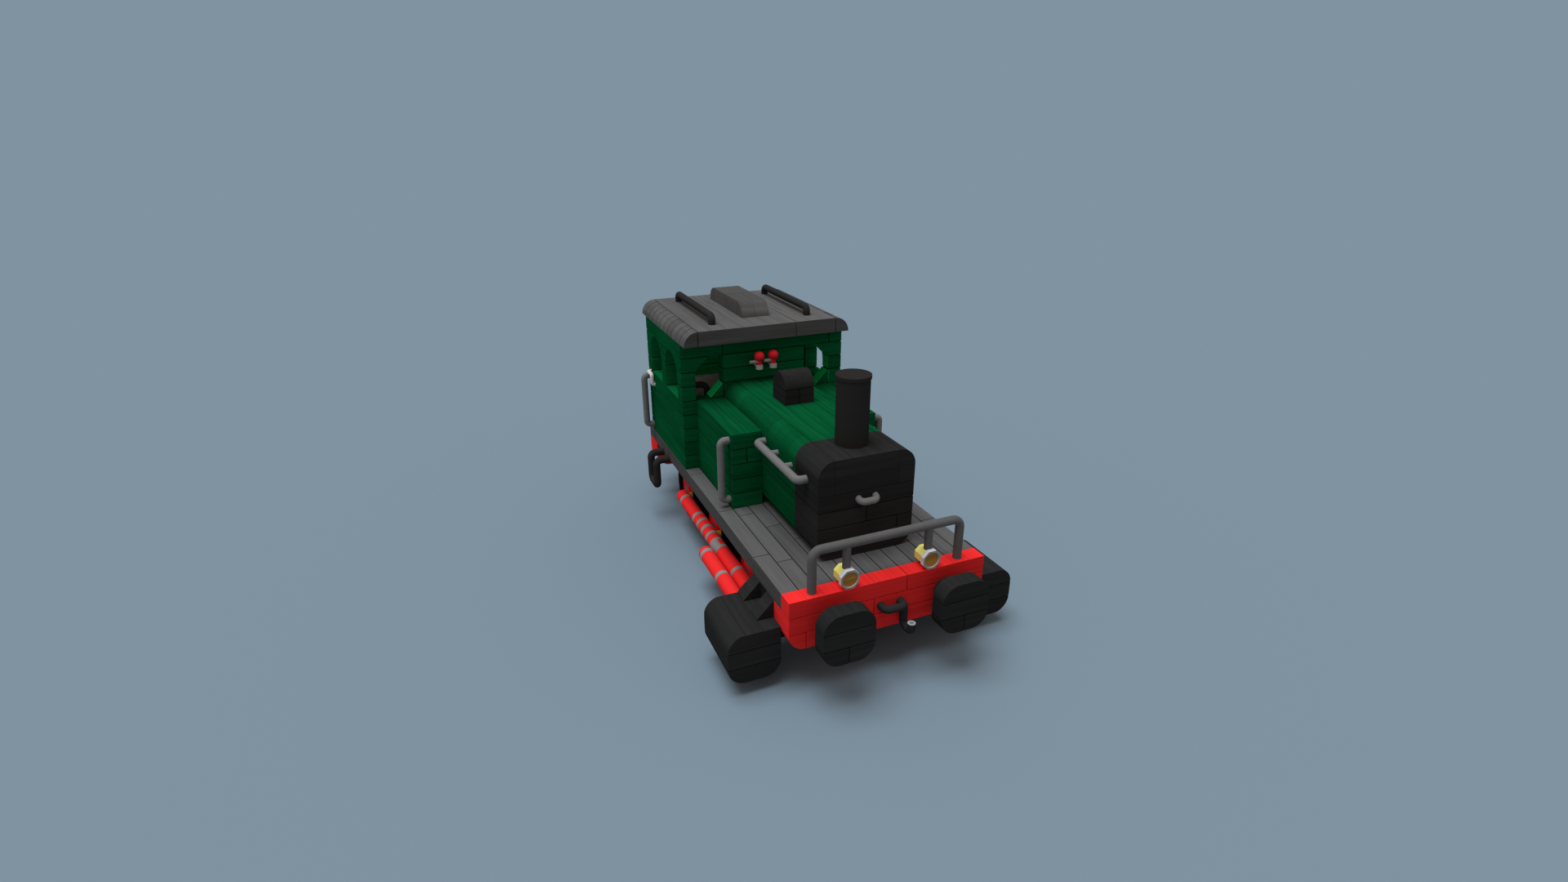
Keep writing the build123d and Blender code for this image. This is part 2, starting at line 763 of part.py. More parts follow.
# Wheelsets: an axle, two wheel centres, two flanged tyres and two crank pins for each
for axle_name, axle_x in AXLES:
    with BuildPart() as axle:
        with BuildSketch(Plane.XZ.offset(-wheel_face_y)):
            with Locations((axle_x, axle_z)):
                Circle(axle_radius)
        extrude(amount=2 * wheel_face_y)
    axle.part.label = axle_name + "_axle"
    export_step(axle.part, "parts/" + axle_name + "_axle.step")

    with BuildPart() as wheel_centres:
        for side_name, side in SIDES:
            with BuildSketch(Plane.XZ.offset(-side * wheel_back_y)):
                with Locations((axle_x, axle_z)):
                    Circle(tyre_seat_radius)
                    Circle(axle_radius, mode=Mode.SUBTRACT)
            extrude(amount=-side * (tyre_width - wheel_dish))
            with BuildSketch(Plane.XZ.offset(-side * (wheel_face_y - wheel_dish))):
                with Locations((axle_x, axle_z)):
                    Circle(hub_radius)
                    Circle(axle_radius, mode=Mode.SUBTRACT)
            extrude(amount=-side * wheel_dish)
            with BuildSketch(Plane.XZ.offset(-side * wheel_face_y)):
                with Locations((axle_x + crank_throw, axle_z)):
                    Circle(crank_pin_radius)
            extrude(amount=side * crank_pin_seat, mode=Mode.SUBTRACT)
    wheel_centres.part.label = axle_name + "_wheel_centres"
    export_step(wheel_centres.part, "parts/" + axle_name + "_wheel_centres.step")

    with BuildPart() as tyres:
        for side_name, side in SIDES:
            with BuildSketch(Plane.XZ.offset(-side * wheel_back_y)):
                with Locations((axle_x, axle_z)):
                    Circle(tread_radius)
                    Circle(tyre_seat_radius, mode=Mode.SUBTRACT)
            extrude(amount=-side * tyre_width)
            with BuildSketch(Plane.XZ.offset(-side * wheel_back_y)):
                with Locations((axle_x, axle_z)):
                    Circle(flange_radius)
                    Circle(tyre_seat_radius, mode=Mode.SUBTRACT)
            extrude(amount=-side * flange_width)
    tyres.part.label = axle_name + "_tyres"
    export_step(tyres.part, "parts/" + axle_name + "_tyres.step")

    with BuildPart() as crank_pins:
        for side_name, side in SIDES:
            with BuildSketch(Plane.XZ.offset(-side * (wheel_face_y - crank_pin_seat))):
                with Locations((axle_x + crank_throw, axle_z)):
                    Circle(crank_pin_radius)
            extrude(amount=-side * (crank_pin_seat + rod_side_gap + rod_eye_depth - pin_end_gap))
    crank_pins.part.label = axle_name + "_crank_pins"
    export_step(crank_pins.part, "parts/" + axle_name + "_crank_pins.step")

# Coupling rods: round rods with a blind eye on the inner side for each crank pin
rod_length = 2 * axle_spacing + 2 * rod_eye_length
pin_middle_x = middle_axle_x + crank_throw
for side_name, side in SIDES:
    with BuildPart() as coupling_rod:
        with BuildSketch(Plane.YZ.offset(pin_middle_x - rod_length / 2)):
            with Locations((side * rod_y, axle_z)):
                Circle(rod_radius)
        extrude(amount=rod_length)
        fillet(coupling_rod.edges().filter_by(GeomType.CIRCLE), radius=rod_end_round)
        with BuildSketch(Plane.XZ.offset(-side * (rod_y - rod_radius))):
            with Locations(*[(x + crank_throw, axle_z) for axle_name, x in AXLES]):
                Circle(crank_pin_radius + pin_clearance)
        extrude(amount=-side * rod_eye_depth, mode=Mode.SUBTRACT)
    coupling_rod.part.label = "coupling_rod_" + side_name
    export_step(coupling_rod.part, "parts/coupling_rod_" + side_name + ".step")

# Main rods: round rods outside the coupling rods, each on a thin piston rod in its cylinder
main_rod_front_x = cylinder_rear_x - gland_gap
main_rod_rear_x = pin_middle_x + main_rod_lead
for side_name, side in SIDES:
    with BuildPart() as main_rod:
        with BuildSketch(Plane.YZ.offset(main_rod_rear_x)):
            with Locations((side * main_rod_y, axle_z)):
                Circle(rod_radius)
        extrude(amount=main_rod_front_x - main_rod_rear_x)
        fillet(main_rod.edges().filter_by(GeomType.CIRCLE).sort_by(Axis.X)[0], radius=rod_end_round)
    main_rod.part.label = "main_rod_" + side_name
    export_step(main_rod.part, "parts/main_rod_" + side_name + ".step")

    with BuildPart() as piston_rod:
        with BuildSketch(Plane.YZ.offset(main_rod_front_x)):
            with Locations((side * main_rod_y, axle_z)):
                Circle(piston_rod_radius)
        extrude(amount=cylinder_front_x - piston_bore_end - piston_end_gap - main_rod_front_x)
    piston_rod.part.label = "piston_rod_" + side_name
    export_step(piston_rod.part, "parts/piston_rod_" + side_name + ".step")
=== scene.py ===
# %% [markdown]
# # A brick-built tank locomotive
# The model is a toy steam engine made of smooth plastic bricks, with six coupled wheels and
# moving rods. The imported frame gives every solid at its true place. This lesson lays real
# bricks over those solids, adds the small fittings, and gives each piece its finish.

# %% Load the frame
import itertools
import math

import bmesh
import bpy
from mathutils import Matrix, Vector


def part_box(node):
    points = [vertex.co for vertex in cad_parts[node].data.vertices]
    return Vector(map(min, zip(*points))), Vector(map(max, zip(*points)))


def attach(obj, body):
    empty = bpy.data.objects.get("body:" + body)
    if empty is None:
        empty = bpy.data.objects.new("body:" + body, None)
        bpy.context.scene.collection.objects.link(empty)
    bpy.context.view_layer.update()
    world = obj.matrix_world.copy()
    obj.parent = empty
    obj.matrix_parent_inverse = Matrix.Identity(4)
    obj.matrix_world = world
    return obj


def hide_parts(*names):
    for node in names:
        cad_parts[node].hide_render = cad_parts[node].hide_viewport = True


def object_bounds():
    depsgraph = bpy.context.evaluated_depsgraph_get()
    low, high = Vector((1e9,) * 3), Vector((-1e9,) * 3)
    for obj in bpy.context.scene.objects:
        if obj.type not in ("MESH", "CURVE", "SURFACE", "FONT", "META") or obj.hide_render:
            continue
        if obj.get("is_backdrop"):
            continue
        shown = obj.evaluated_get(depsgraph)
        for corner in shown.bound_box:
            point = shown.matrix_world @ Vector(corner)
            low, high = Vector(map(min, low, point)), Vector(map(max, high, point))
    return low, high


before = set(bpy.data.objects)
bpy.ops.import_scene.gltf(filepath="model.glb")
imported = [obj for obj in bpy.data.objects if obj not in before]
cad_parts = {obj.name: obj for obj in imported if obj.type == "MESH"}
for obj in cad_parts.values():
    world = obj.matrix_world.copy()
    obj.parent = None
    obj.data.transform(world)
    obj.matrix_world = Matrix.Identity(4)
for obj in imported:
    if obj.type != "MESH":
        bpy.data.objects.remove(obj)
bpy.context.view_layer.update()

# %% [markdown]
# ## One brick as the measure
# Everything on this model is counted in bricks. The footplate is one brick thick, so its own
# height gives the unit. Places below are written in bricks: x forwards from the front beam, so
# that the engine lies at negative x, y to the engine's left and z up from the deck.

# %% The brick unit
deck_low, deck_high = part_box("footplate")
brick = deck_high.z - deck_low.z
deck_top = deck_high.z
beam_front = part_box("front_buffer_beam")[1].x


def at(x, y, z):
    """A place counted in bricks, as a point of the frame."""
    return Vector((beam_front + x * brick, y * brick, deck_top + z * brick))


print("brick %.1f mm, deck at %.1f mm" % (brick * 1000, deck_top * 1000))

# %% [markdown]
# ## Camera
# The photograph was taken close to the model with a wide lens, from in front, from the
# engine's right and from above. A view can be nudged until it looks right, but then every
# outline is a little off. Here the place and the two angles were fitted to corners that both
# the solids and the photograph have, so edges fall within a pixel.

# %% Camera
camera_place = (0.35814, -0.15649, 0.22820)
camera_pitch = 0.3881
camera_heading = 2.7338
camera_data = bpy.data.cameras.new("camera")
camera_data.lens = 18.0
camera_data.sensor_width = 36.0
camera_data.clip_start = 0.01
camera = bpy.data.objects.new("camera", camera_data)
camera.location = camera_place
camera.rotation_euler = (math.pi / 2 - camera_pitch, 0.0, camera_heading - math.pi / 2)
bpy.context.scene.collection.objects.link(camera)
bpy.context.scene.camera = camera
bpy.context.scene.view_settings.view_transform = "Standard"
print("lens", camera_data.lens, "mm")


# %% [markdown]
# ## Colours
# Colours are easiest to read from the photograph as the 0 to 255 values that a screen shows.
# Blender's shaders want linear light, so one small function turns one into the other.

# %% Screen colours to linear light
def screen(red, green, blue):
    """A screen colour as the linear colour that a shader takes, by the sRGB curve."""
    channels = []
    for value in (red, green, blue):
        share = value / 255
        if share <= 0.04045:
            channels.append(share / 12.92)
        else:
            channels.append(((share + 0.055) / 1.055) ** 2.4)
    return (*channels, 1.0)


BACKDROP = screen(128, 147, 161)
print("backdrop", [round(c, 3) for c in BACKDROP[:3]])

# %% [markdown]
# ## Floor and light
# A large plain floor and a world of the same pale blue grey make a seamless backdrop. The
# light is one wide soft source nearly overhead and an even sky, so tops are bright, the
# engine's right side is darker and its front is darkest, as in the photograph. The two levels
# add up to one on a level surface, so that a top face shows its colour as it was written. The
# sky is a little warm, which balances the blue light that the floor throws back on the sides.

# %% Floor
floor_half = 30.0
floor_mesh = bpy.data.meshes.new("floor")
floor_mesh.from_pydata(
    [
        (-floor_half, -floor_half, 0),
        (floor_half, -floor_half, 0),
        (floor_half, floor_half, 0),
        (-floor_half, floor_half, 0),
    ],
    [],
    [(0, 1, 2, 3)],
)
floor = bpy.data.objects.new("floor", floor_mesh)
bpy.context.scene.collection.objects.link(floor)
floor_material = bpy.data.materials.new("floor_paper")
floor_material.use_nodes = True
floor_shader = floor_material.node_tree.nodes["Principled BSDF"]
floor_shader.inputs["Base Color"].default_value = BACKDROP
floor_shader.inputs["Roughness"].default_value = 0.9
floor_shader.inputs["Specular IOR Level"].default_value = 0.0
floor_mesh.materials.append(floor_material)
floor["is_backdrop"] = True
print("floor", 2 * floor_half, "m wide")


# %% Helpers for nodes
def add_node(tree, kind, **settings):
    """A new node with its settings made."""
    made = tree.nodes.new(kind)
    for name, value in settings.items():
        setattr(made, name, value)
    return made


def computed(tree, operation, *values):
    """One step of arithmetic on sockets and plain numbers."""
    step = add_node(tree, "ShaderNodeMath", operation=operation)
    for socket, value in zip(step.inputs, values):
        if isinstance(value, (int, float)):
            socket.default_value = value
        else:
            tree.links.new(value, socket)
    return step.outputs[0]


print("node helpers", add_node.__name__, "and", computed.__name__)

# %% World
sky_level = 0.34
sky_tint = (1.15, 1.0, 0.88)


def even_light(tree, colour, level):
    """Light of one colour from all round."""
    light = add_node(tree, "ShaderNodeBackground")
    light.inputs["Color"].default_value = colour
    light.inputs["Strength"].default_value = level
    return light.outputs[0]


world = bpy.data.worlds.new("studio")
bpy.context.scene.world = world
world.use_nodes = True
sky = world.node_tree
sky.nodes.clear()
ray = add_node(sky, "ShaderNodeLightPath").outputs
seen = computed(sky, "MAXIMUM", ray["Is Camera Ray"], ray["Is Glossy Ray"])
seen = computed(sky, "MAXIMUM", seen, ray["Is Transmission Ray"])
choose = add_node(sky, "ShaderNodeMixShader")
sky.links.new(seen, choose.inputs["Fac"])
sky.links.new(even_light(sky, (*sky_tint, 1), sky_level), choose.inputs[1])
sky.links.new(even_light(sky, BACKDROP, 1.0), choose.inputs[2])
sky_out = add_node(sky, "ShaderNodeOutputWorld")
sky.links.new(choose.outputs[0], sky_out.inputs["Surface"])
print("sky", sky_level)

# %% Key light
key_tilt_side = math.radians(11)
key_tilt_front = math.radians(-1)
key_spread = math.radians(40)
key_rise = math.cos(key_tilt_side) * math.cos(key_tilt_front)
key_level = math.pi * (1 - sky_level) / key_rise
key_data = bpy.data.lights.new("overhead_softbox", "SUN")
key_data.energy = key_level
key_data.color = [(1 - sky_level * share) / (1 - sky_level) for share in sky_tint]
key_data.angle = key_spread
key = bpy.data.objects.new("overhead_softbox", key_data)
key.location = (0, 0, 1)
key.rotation_euler = (key_tilt_side, key_tilt_front, 0)
bpy.context.scene.collection.objects.link(key)
print("key", round(key_level, 3))

# %% [markdown]
# ## Moulded plastic
# The bricks are coloured plastic with a satin skin. One flat colour would look like paint:
# close up they show faint streaks along their length, each brick is a little lighter or darker
# than the next, and the skin has a fine uneven texture. The streaks lie along x on top faces
# and level on upright faces, so the face's own direction picks one of two stretched noises.

# %% Helpers for finishes
streak_run = 26
streak_across = 520
streak_detail = 3.0


def spread(tree, value, low, high, from_low=0.0, from_high=1.0):
    """A value taken from one range to another."""
    span = add_node(tree, "ShaderNodeMapRange")
    span.inputs["From Min"].default_value = from_low
    span.inputs["From Max"].default_value = from_high
    span.inputs["To Min"].default_value = low
    span.inputs["To Max"].default_value = high
    tree.links.new(value, span.inputs["Value"])
    return span.outputs["Result"]


def stretched_noise(tree, coordinates, stretch, detail):
    """Noise that is drawn out where stretch is small, in cycles per metre."""
    mapping = add_node(tree, "ShaderNodeMapping")
    mapping.inputs["Scale"].default_value = stretch
    noise = add_node(tree, "ShaderNodeTexNoise")
    noise.inputs["Scale"].default_value = 1.0
    noise.inputs["Detail"].default_value = detail
    tree.links.new(coordinates.outputs["Object"], mapping.inputs["Vector"])
    tree.links.new(mapping.outputs["Vector"], noise.inputs["Vector"])
    return noise.outputs["Fac"]


def brick_streaks(tree, coordinates, facing):
    """Streaks along x on top faces and level on upright faces."""
    on_sides = (streak_run, streak_run, streak_across)
    on_tops = (streak_run, streak_across, streak_across)
    level = stretched_noise(tree, coordinates, on_sides, streak_detail)
    along = stretched_noise(tree, coordinates, on_tops, streak_detail)
    streaks = add_node(tree, "ShaderNodeMix", data_type="FLOAT")
    tree.links.new(computed(tree, "ABSOLUTE", facing.outputs["Z"]), streaks.inputs["Factor"])
    tree.links.new(level, streaks.inputs["A"])
    tree.links.new(along, streaks.inputs["B"])
    return streaks.outputs["Result"]


print("streaks", streak_run, "by", streak_across, "per metre")

# %% Plastic finish
noise_low, noise_high = 0.3, 0.7
# how far a face turns forwards or sideways before its painted light or shade starts and is full
turned_from, turned_fully = 0.7, 0.9
gloss_less, gloss_more = 0.08, 0.12
skin_grain = 1400
skin_detail = 2.0
skin_strength = 0.12
skin_depth = 0.0003


def moulded_plastic(
    name, colour, streak=0.22, tone=0.12, gloss=0.55, specular=0.0, front=1.0, side=1.0
):
    """Satin plastic in one colour; front and side paint light or shade on faces turned that way."""
    material = bpy.data.materials.new(name)
    material.use_nodes = True
    tree = material.node_tree
    link = tree.links.new
    shader = tree.nodes["Principled BSDF"]
    shader.inputs["Specular IOR Level"].default_value = specular
    coordinates = add_node(tree, "ShaderNodeTexCoord")
    facing = add_node(tree, "ShaderNodeSeparateXYZ")
    link(coordinates.outputs["Normal"], facing.inputs[0])

    streaks = brick_streaks(tree, coordinates, facing)
    brick_tone = add_node(tree, "ShaderNodeAttribute", attribute_name="tone")
    value = spread(tree, streaks, 1 - streak, 1 + streak, noise_low, noise_high)
    value = computed(tree, "MULTIPLY_ADD", brick_tone.outputs["Fac"], tone, value)
    # painted light and shade: faces turned forwards or sideways are made lighter or darker by front
    # and side
    sideways = computed(tree, "ABSOLUTE", facing.outputs["Y"])
    for turned, painted_shading in ((facing.outputs["X"], front), (sideways, side)):
        share = spread(tree, turned, 1.0, painted_shading, turned_from, turned_fully)
        value = computed(tree, "MULTIPLY", value, share)
    shade = add_node(tree, "ShaderNodeHueSaturation")
    shade.inputs["Color"].default_value = colour
    link(value, shade.inputs["Value"])
    link(shade.outputs["Color"], shader.inputs["Base Color"])

    roughness = spread(tree, streaks, gloss - gloss_less, gloss + gloss_more)
    link(roughness, shader.inputs["Roughness"])
    relief = add_node(tree, "ShaderNodeBump")
    relief.inputs["Strength"].default_value = skin_strength
    relief.inputs["Distance"].default_value = skin_depth
    skin = stretched_noise(tree, coordinates, (skin_grain, skin_grain, skin_grain), skin_detail)
    link(skin, relief.inputs["Height"])
    link(relief.outputs["Normal"], shader.inputs["Normal"])
    return material


print("skin", skin_grain, "grains per metre")

# %% Brick plastics
# front and side paint light or shade: forward and sideways faces are made lighter or darker to match
# how the light falls on them
green_brick = moulded_plastic("green_brick", screen(8, 82, 46), front=1.15)
red_brick = moulded_plastic("red_brick", screen(254, 52, 52), streak=0.1, tone=0.06, front=0.82)
black_brick = moulded_plastic("black_brick", screen(44, 44, 44), streak=0.14)
deck_brick = moulded_plastic("deck_brick", screen(96, 95, 95), streak=0.12, side=0.7)
roof_brick = moulded_plastic("roof_brick", screen(93, 92, 92), streak=0.16, tone=0.2, front=0.68)
vent_brick = moulded_plastic(
    "vent_brick", screen(84, 83, 83), streak=0.1, tone=0.06, front=1.5, side=1.35
)
seam_shadow = moulded_plastic("seam_shadow", screen(14, 14, 14), gloss=0.8)
print("brick plastics", green_brick.name, red_brick.name, black_brick.name)

# %% [markdown]
# ## How bricks are laid
# A wall could be drawn with dark lines, but real joints catch the light from every side. So
# each solid is cut into its bricks: a table gives the joints, Geometry Nodes puts a box on
# each brick's centre, and the boxes' common part with the solid is the brickwork. A slightly
# smaller dark copy of the solid closes the joints from behind. Where a face is only scored,
# thin boxes are taken away instead.

# %% A tree and its inputs
def new_tree(name, inputs):
    """A tree with named inputs and one geometry output, and the sockets at its two ends."""
    tree = bpy.data.node_groups.new(name, "GeometryNodeTree")
    tree.interface.new_socket("Geometry", in_out="OUTPUT", socket_type="NodeSocketGeometry")
    for label, kind in inputs:
        tree.interface.new_socket(label, in_out="INPUT", socket_type="NodeSocket" + kind)
    given = add_node(tree, "NodeGroupInput")
    result = add_node(tree, "NodeGroupOutput")
    return tree, given.outputs, result.inputs["Geometry"]


print("a tree starts in", new_tree.__name__)


# %% Values that geometry carries
def attribute(tree, name, kind):
    """A named attribute of the geometry that reads it."""
    reader = add_node(tree, "GeometryNodeInputNamedAttribute", data_type=kind)
    reader.inputs["Name"].default_value = name
    return reader.outputs["Attribute"]


def stored(tree, geometry, name, kind, domain, value):
    """Geometry that carries a value, from a socket or plain, under a name."""
    store = add_node(tree, "GeometryNodeStoreNamedAttribute", data_type=kind, domain=domain)
    store.inputs["Name"].default_value = name
    tree.links.new(geometry, store.inputs["Geometry"])
    if isinstance(value, bool):
        store.inputs["Value"].default_value = value
    else:
        tree.links.new(value, store.inputs["Value"])
    return store.outputs["Geometry"]


print("values are read by", attribute.__name__, "and kept by", stored.__name__)


# %% Copies and paint
def realized(tree, geometry):
    """Instances made real."""
    real = add_node(tree, "GeometryNodeRealizeInstances")
    tree.links.new(geometry, real.inputs["Geometry"])
    return real.outputs["Geometry"]


def copies(tree, points, shape, scale=None):
    """A real copy of a shape on each point."""
    placed = add_node(tree, "GeometryNodeInstanceOnPoints")
    tree.links.new(points, placed.inputs["Points"])
    tree.links.new(shape, placed.inputs["Instance"])
    if scale is not None:
        tree.links.new(scale, placed.inputs["Scale"])
    return realized(tree, placed.outputs["Instances"])


def painted(tree, geometry, material, selection=None):
    """Geometry with a material on all its faces, or on the selected ones."""
    paint = add_node(tree, "GeometryNodeSetMaterial")
    tree.links.new(geometry, paint.inputs["Geometry"])
    tree.links.new(material, paint.inputs["Material"])
    if selection is not None:
        tree.links.new(selection, paint.inputs["Selection"])
    return paint.outputs["Geometry"]


print("a tree ends in", realized.__name__, "and", painted.__name__)

# %% Cutting the bricks
# a Random Value node has sockets for every kind of value, and these are its float ones
lowest_tone, highest_tone, drawn_tone = 2, 3, 1


def cut_bricks(tree, given, outline):
    """Boxes on the centres, trimmed by the outline and scored, each with its own tone."""
    link = tree.links.new
    chance = add_node(tree, "FunctionNodeRandomValue", data_type="FLOAT")
    chance.inputs[lowest_tone].default_value = -1.0
    chance.inputs[highest_tone].default_value = 1.0
    link(given["Seed"], chance.inputs["Seed"])
    tone = chance.outputs[drawn_tone]
    toned = stored(tree, given["Centres"], "tone", "FLOAT", "POINT", tone)
    sort = add_node(tree, "GeometryNodeSeparateGeometry", domain="POINT")
    link(toned, sort.inputs["Geometry"])
    link(attribute(tree, "score", "BOOLEAN"), sort.inputs["Selection"])

    box = add_node(tree, "GeometryNodeMeshCube")
    box.inputs["Size"].default_value = (1, 1, 1)
    size = attribute(tree, "size", "FLOAT_VECTOR")
    shrunk = add_node(tree, "ShaderNodeVectorMath", operation="SUBTRACT")
    link(size, shrunk.inputs[0])
    gap = computed(tree, "MULTIPLY", given["Joint"], attribute(tree, "gap", "FLOAT"))
    link(gap, shrunk.inputs[1])
    boxes = copies(tree, sort.outputs["Inverted"], box.outputs["Mesh"], shrunk.outputs[0])
    scores = copies(tree, sort.outputs["Selection"], box.outputs["Mesh"], size)

    cut = add_node(tree, "GeometryNodeMeshBoolean", operation="INTERSECT", solver="EXACT")
    link(outline, cut.inputs["Mesh 2"])
    link(boxes, cut.inputs["Mesh 2"])
    scored = add_node(tree, "GeometryNodeMeshBoolean", operation="DIFFERENCE", solver="EXACT")
    link(cut.outputs["Mesh"], scored.inputs["Mesh 1"])
    link(scores, scored.inputs["Mesh 2"])

    nearest = add_node(tree, "GeometryNodeSampleNearestSurface", data_type="FLOAT")
    link(boxes, nearest.inputs["Mesh"])
    link(attribute(tree, "tone", "FLOAT"), nearest.inputs["Value"])
    return stored(tree, scored.outputs["Mesh"], "tone", "FLOAT", "FACE", nearest.outputs["Value"])


print("bricks are cut in", cut_bricks.__name__)


# %% The dark core
def dark_core(tree, outline, depth):
    """The outline moved inwards by a depth and marked as the core."""
    outward = add_node(tree, "GeometryNodeInputNormal")
    inward = add_node(tree, "ShaderNodeVectorMath", operation="SCALE")
    tree.links.new(outward.outputs["Normal"], inward.inputs[0])
    tree.links.new(computed(tree, "MULTIPLY", depth, -1.0), inward.inputs["Scale"])
    moved = add_node(tree, "GeometryNodeSetPosition")
    tree.links.new(outline, moved.inputs["Geometry"])
    tree.links.new(inward.outputs[0], moved.inputs["Offset"])
    return stored(tree, moved.outputs["Geometry"], "core", "BOOLEAN", "FACE", True)


print("joints are closed in", dark_core.__name__)

# %% The brick-laying tree
BRICK_INPUTS = [
    # name, kind of socket
    ("Centres", "Geometry"),
    ("Solid", "Object"),
    ("Joint", "Float"),
    ("Core Depth", "Float"),
    ("Seed", "Int"),
    ("Brick", "Material"),
    ("Shadow", "Material"),
]


def brick_laying_tree():
    """Bricks cut to a solid's outline, with a dark core behind their joints."""
    tree, given, result = new_tree("brick_laying", BRICK_INPUTS)
    solid = add_node(tree, "GeometryNodeObjectInfo", transform_space="ORIGINAL")
    tree.links.new(given["Solid"], solid.inputs["Object"])
    outline = solid.outputs["Geometry"]
    both = add_node(tree, "GeometryNodeJoinGeometry")
    tree.links.new(cut_bricks(tree, given, outline), both.inputs["Geometry"])
    tree.links.new(dark_core(tree, outline, given["Core Depth"]), both.inputs["Geometry"])
    real = realized(tree, both.outputs["Geometry"])
    bricks = painted(tree, real, given["Brick"])
    is_core = attribute(tree, "core", "BOOLEAN")
    tree.links.new(painted(tree, bricks, given["Shadow"], is_core), result)
    return tree


brick_laying = brick_laying_tree()
print(brick_laying.name, "with", len(brick_laying.nodes), "nodes")

# %% [markdown]
# ## From a table of joints to bricks
# A course is a block of space with the places where its joints fall. Its ends are open: END
# reaches past the solid, whose own outline trims the bricks. A course can also have its own
# share of the usual gap, for tight or wide joints. Because the cut leaves many flat triangles,
# each result is cleaned into whole faces and gets a fine rounded edge.

# %% Joints and scores
END = 60.0
whole = [-END, END]
joint_width = 0.0004
tight = 0.3
wide = 1.6
score_width = 0.0002
score_depth = 0.0004
trim_slack = 0.002
thinnest_brick = 0.0005


def course_boxes(courses, low, high):
    """Centre, size and gap of each brick in a list of courses, trimmed near the solid."""
    slack = Vector((trim_slack, trim_slack, trim_slack))
    low, high = low - slack, high + slack
    found = []
    for xs, ys, zs, *own_gap in courses:
        gap = own_gap[0] if own_gap else 1.0
        for x, y, z in itertools.product(zip(xs, xs[1:]), zip(ys, ys[1:]), zip(zs, zs[1:])):
            near = Vector(map(max, at(x[0], y[0], z[0]), low))
            far = Vector(map(min, at(x[1], y[1], z[1]), high))
            if all(b - a > thinnest_brick for a, b in zip(near, far)):
                found.append(((near + far) / 2, far - near, gap, False))
    return found


def top_scores(lines, low, high):
    """Thin boxes along x that score a top face, at each y in bricks and height of lines."""
    found = []
    for y, top in lines:
        centre = Vector(((low.x + high.x) / 2, y * brick, top))
        size = Vector((high.x - low.x + 2 * trim_slack, score_width, 2 * score_depth))
        found.append((centre, size, 1.0, True))
    return found


print("joints %.1f mm, scores %.1f mm" % (joint_width * 1000, score_width * 1000))

# %% One closed skin
merge_distance = 1e-6


def merged_copy(node):
    """A node's mesh as one closed skin in a new object."""
    shell = bmesh.new()
    shell.from_mesh(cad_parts[node].data)
    bmesh.ops.remove_doubles(shell, verts=shell.verts, dist=merge_distance)
    mesh = bpy.data.meshes.new(node + "_solid")
    shell.to_mesh(mesh)
    shell.free()
    loose_normals = mesh.attributes.get("custom_normal")
    if loose_normals:
        mesh.attributes.remove(loose_normals)
    solid = bpy.data.objects.new(node + "_solid", mesh)
    bpy.context.scene.collection.objects.link(solid)
    return solid


print("corners merge within", merge_distance, "m")


# %% Growing a piece
def grown_piece(name, mesh, tree, inputs):
    """The plain mesh that a tree grows on a mesh, as an object; inputs go by their identifiers."""
    holder = bpy.data.objects.new(name, mesh)
    bpy.context.scene.collection.objects.link(holder)
    growing = holder.modifiers.new(tree.name, "NODES")
    growing.node_group = tree
    for item in tree.interface.items_tree:
        if item.item_type == "SOCKET" and item.in_out == "INPUT" and item.name in inputs:
            growing[item.identifier] = inputs[item.name]
    bpy.context.view_layer.update()
    depsgraph = bpy.context.evaluated_depsgraph_get()
    grown = bpy.data.meshes.new_from_object(holder.evaluated_get(depsgraph))
    holder.modifiers.clear()
    holder.data = grown
    return holder


print("pieces grow in", grown_piece.__name__)

# %% Whole faces
flat_angle = 0.004
brick_sharp = math.radians(32)


def shade_round(mesh, sharp_angle):
    """Smooth shading, with edges sharp past an angle."""
    mesh.shade_smooth()
    mesh.set_sharp_from_angle(angle=sharp_angle)


def whole_faces(mesh):
    """Joins the bricks' flat triangles, and leaves the dark core as it is."""
    shell = bmesh.new()
    shell.from_mesh(mesh)
    bmesh.ops.remove_doubles(shell, verts=shell.verts, dist=merge_distance)
    bmesh.ops.dissolve_degenerate(shell, edges=shell.edges, dist=merge_distance)
    dark = mesh.materials.find(seam_shadow.name)
    laid = [e for e in shell.edges if all(f.material_index != dark for f in e.link_faces)]
    corners = list(dict.fromkeys(v for e in laid for v in e.verts))
    bmesh.ops.dissolve_limit(
        shell, angle_limit=flat_angle, verts=corners, edges=laid, delimit={"MATERIAL"}
    )
    shell.to_mesh(mesh)
    shell.free()
    shade_round(mesh, brick_sharp)


print("flat faces within", flat_angle, "radians are joined")

# %% Laying
core_depth = 0.0007
edge_round = 0.00018
edge_angle = math.radians(40)


def brick_points(name, rows):
    """Points at the rows' centres, which carry their sizes, gaps and scores."""
    centres, sizes, gaps, scores = zip(*rows)
    lengths = [length for size in sizes for length in size]
    points = bpy.data.meshes.new(name)
    points.from_pydata(centres, [], [])
    points.attributes.new("size", "FLOAT_VECTOR", "POINT").data.foreach_set("vector", lengths)
    points.attributes.new("gap", "FLOAT", "POINT").data.foreach_set("value", gaps)
    points.attributes.new("score", "BOOLEAN", "POINT").data.foreach_set("value", scores)
    return points


